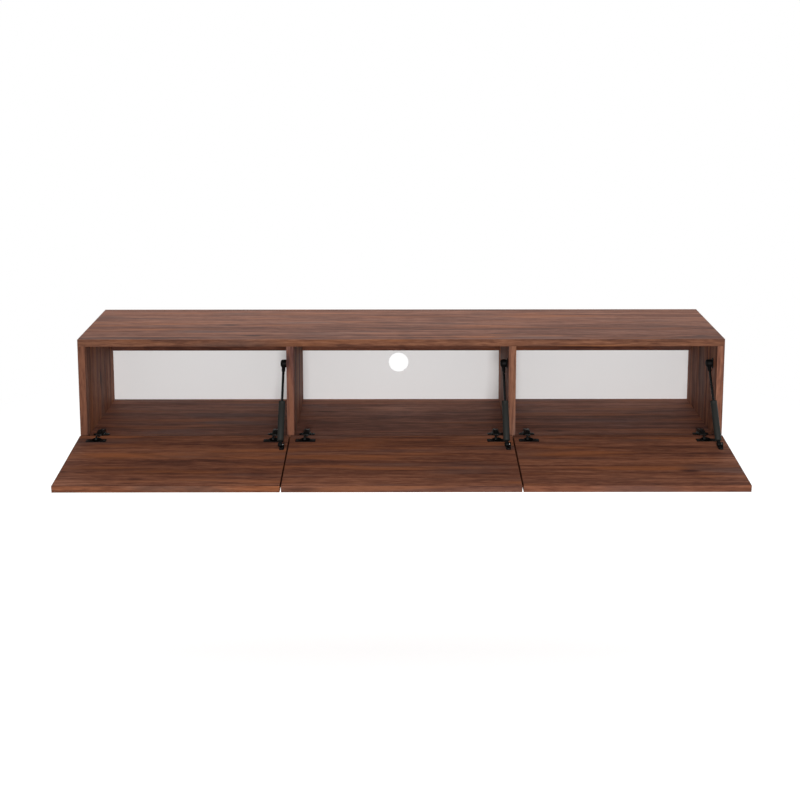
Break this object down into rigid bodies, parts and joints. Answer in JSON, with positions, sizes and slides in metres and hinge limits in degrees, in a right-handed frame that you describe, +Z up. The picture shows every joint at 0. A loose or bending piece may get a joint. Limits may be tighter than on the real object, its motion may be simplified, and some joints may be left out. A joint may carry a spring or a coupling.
{
  "type": "floating media console",
  "caption": "Wall-hung media cabinet of three bays with drop-down flap doors on concealed hinges and gas struts, a white back and a cable hole.",
  "frame": {"origin": "on the wall plane, midway between the middle rail's two wall screws, 70 mm below the top surface", "axes": "+X along the cabinet (the right end as seen from the front), +Y into the wall, +Z up; the doors face -Y"},
  "size_m": [1.8, 0.6506, 0.3181],
  "materials": {
    "walnut": "satin walnut veneer",
    "white_board": "white painted hardboard",
    "dowel_wood": "plain beech",
    "zinc_steel": "zinc plated",
    "black_steel": "satin black plated",
    "black_screw": "black oxide",
    "strut_paint": "satin black paint",
    "rod_steel": "black nitrided, polished",
    "black_plastic": "moulded"
  },
  "bodies": {
    "cabinet": {"top_panel": "walnut", "bottom_panel": "walnut", "left_side": "walnut", "right_side": "walnut", "left_divider": "walnut", "right_divider": "walnut", "back_panel_left": "white_board", "wall_rail_left": "walnut", "back_panel_middle": "white_board", "wall_rail_middle": "walnut", "back_panel_right": "white_board", "wall_rail_right": "walnut", "assembly_dowels": "dowel_wood", "divider_screws": "zinc_steel", "back_panel_nails": "zinc_steel", "hinge_arms": "black_steel", "hinge_plates": "black_steel", "hinge_plate_screws": "black_screw", "strut_wall_brackets": "black_steel", "wall_bracket_screws": "black_screw"},
    "door_left": {"door_left": "walnut", "hinge_cups_left": "black_steel", "hinge_cup_screws_left": "black_screw", "strut_door_bracket_left": "black_steel", "door_bracket_screws_left": "black_screw"},
    "hinge_inner_links_left": {"hinge_inner_links_left": "black_steel"},
    "hinge_outer_links_left": {"hinge_outer_links_left": "black_steel"},
    "strut_tube_left": {"strut_tube_left": "strut_paint", "strut_rod_guide_left": "black_plastic", "strut_lower_socket_left": "black_plastic"},
    "strut_rod_left": {"strut_rod_left": "rod_steel", "strut_piston_left": "rod_steel", "strut_upper_socket_left": "black_plastic"},
    "door_middle": {"door_middle": "walnut", "hinge_cups_middle": "black_steel", "hinge_cup_screws_middle": "black_screw", "strut_door_bracket_middle": "black_steel", "door_bracket_screws_middle": "black_screw"},
    "hinge_inner_links_middle": {"hinge_inner_links_middle": "black_steel"},
    "hinge_outer_links_middle": {"hinge_outer_links_middle": "black_steel"},
    "strut_tube_middle": {"strut_tube_middle": "strut_paint", "strut_rod_guide_middle": "black_plastic", "strut_lower_socket_middle": "black_plastic"},
    "strut_rod_middle": {"strut_rod_middle": "rod_steel", "strut_piston_middle": "rod_steel", "strut_upper_socket_middle": "black_plastic"},
    "door_right": {"door_right": "walnut", "hinge_cups_right": "black_steel", "hinge_cup_screws_right": "black_screw", "strut_door_bracket_right": "black_steel", "door_bracket_screws_right": "black_screw"},
    "hinge_inner_links_right": {"hinge_inner_links_right": "black_steel"},
    "hinge_outer_links_right": {"hinge_outer_links_right": "black_steel"},
    "strut_tube_right": {"strut_tube_right": "strut_paint", "strut_rod_guide_right": "black_plastic", "strut_lower_socket_right": "black_plastic"},
    "strut_rod_right": {"strut_rod_right": "rod_steel", "strut_piston_right": "rod_steel", "strut_upper_socket_right": "black_plastic"}
  },
  "joints": [
    {"name": "door_left", "type": "hinge", "parent": "cabinet", "child": "door_left", "pos_m": [-0.6, -0.3602, -0.2215], "axis": [1, 0, 0], "range_deg": [-95.2, 0]},
    {"name": "hinge_inner_links_left", "type": "hinge", "parent": "cabinet", "child": "hinge_inner_links_left", "pos_m": [-0.6, -0.3602, -0.2215], "axis": [1, 0, 0], "range_deg": [-36.19, 0]},
    {"name": "hinge_outer_links_left", "type": "hinge", "parent": "cabinet", "child": "hinge_outer_links_left", "pos_m": [-0.6, -0.3602, -0.2215], "axis": [1, 0, 0], "range_deg": [-71.41, 0]},
    {"name": "strut_pivot_left", "type": "hinge", "parent": "door_left", "child": "strut_tube_left", "pos_m": [-0.3315, -0.43143, -0.20017], "axis": [1, 0, 0], "range_deg": [0, 116.22]},
    {"name": "strut_stroke_left", "type": "slide", "parent": "strut_tube_left", "child": "strut_rod_left", "axis": [0, -0.587, -0.8096], "range_m": [0, 0.08705]},
    {"name": "door_middle", "type": "hinge", "parent": "cabinet", "child": "door_middle", "pos_m": [0, -0.3602, -0.2215], "axis": [1, 0, 0], "range_deg": [-95.2, 0]},
    {"name": "hinge_inner_links_middle", "type": "hinge", "parent": "cabinet", "child": "hinge_inner_links_middle", "pos_m": [0, -0.3602, -0.2215], "axis": [1, 0, 0], "range_deg": [-36.19, 0]},
    {"name": "hinge_outer_links_middle", "type": "hinge", "parent": "cabinet", "child": "hinge_outer_links_middle", "pos_m": [0, -0.3602, -0.2215], "axis": [1, 0, 0], "range_deg": [-71.41, 0]},
    {"name": "strut_pivot_middle", "type": "hinge", "parent": "door_middle", "child": "strut_tube_middle", "pos_m": [0.2885, -0.43143, -0.20017], "axis": [1, 0, 0], "range_deg": [0, 116.22]},
    {"name": "strut_stroke_middle", "type": "slide", "parent": "strut_tube_middle", "child": "strut_rod_middle", "axis": [0, -0.587, -0.8096], "range_m": [0, 0.08705]},
    {"name": "door_right", "type": "hinge", "parent": "cabinet", "child": "door_right", "pos_m": [0.6, -0.3602, -0.2215], "axis": [1, 0, 0], "range_deg": [-95.2, 0]},
    {"name": "hinge_inner_links_right", "type": "hinge", "parent": "cabinet", "child": "hinge_inner_links_right", "pos_m": [0.6, -0.3602, -0.2215], "axis": [1, 0, 0], "range_deg": [-36.19, 0]},
    {"name": "hinge_outer_links_right", "type": "hinge", "parent": "cabinet", "child": "hinge_outer_links_right", "pos_m": [0.6, -0.3602, -0.2215], "axis": [1, 0, 0], "range_deg": [-71.41, 0]},
    {"name": "strut_pivot_right", "type": "hinge", "parent": "door_right", "child": "strut_tube_right", "pos_m": [0.8685, -0.43143, -0.20017], "axis": [1, 0, 0], "range_deg": [0, 116.22]},
    {"name": "strut_stroke_right", "type": "slide", "parent": "strut_tube_right", "child": "strut_rod_right", "axis": [0, -0.587, -0.8096], "range_m": [0, 0.08705]}
  ],
  "couplings": [
    {"joint": "hinge_inner_links_left", "follows": "door_left", "ratio": 0.38},
    {"joint": "hinge_outer_links_left", "follows": "door_left", "ratio": 0.75},
    {"joint": "strut_pivot_left", "follows": "door_left", "ratio": -1.2206},
    {"joint": "strut_stroke_left", "follows": "door_left", "m_per_rad": -0.052362},
    {"joint": "hinge_inner_links_middle", "follows": "door_middle", "ratio": 0.38},
    {"joint": "hinge_outer_links_middle", "follows": "door_middle", "ratio": 0.75},
    {"joint": "strut_pivot_middle", "follows": "door_middle", "ratio": -1.2206},
    {"joint": "strut_stroke_middle", "follows": "door_middle", "m_per_rad": -0.052362},
    {"joint": "hinge_inner_links_right", "follows": "door_right", "ratio": 0.38},
    {"joint": "hinge_outer_links_right", "follows": "door_right", "ratio": 0.75},
    {"joint": "strut_pivot_right", "follows": "door_right", "ratio": -1.2206},
    {"joint": "strut_stroke_right", "follows": "door_right", "m_per_rad": -0.052362}
  ]
}
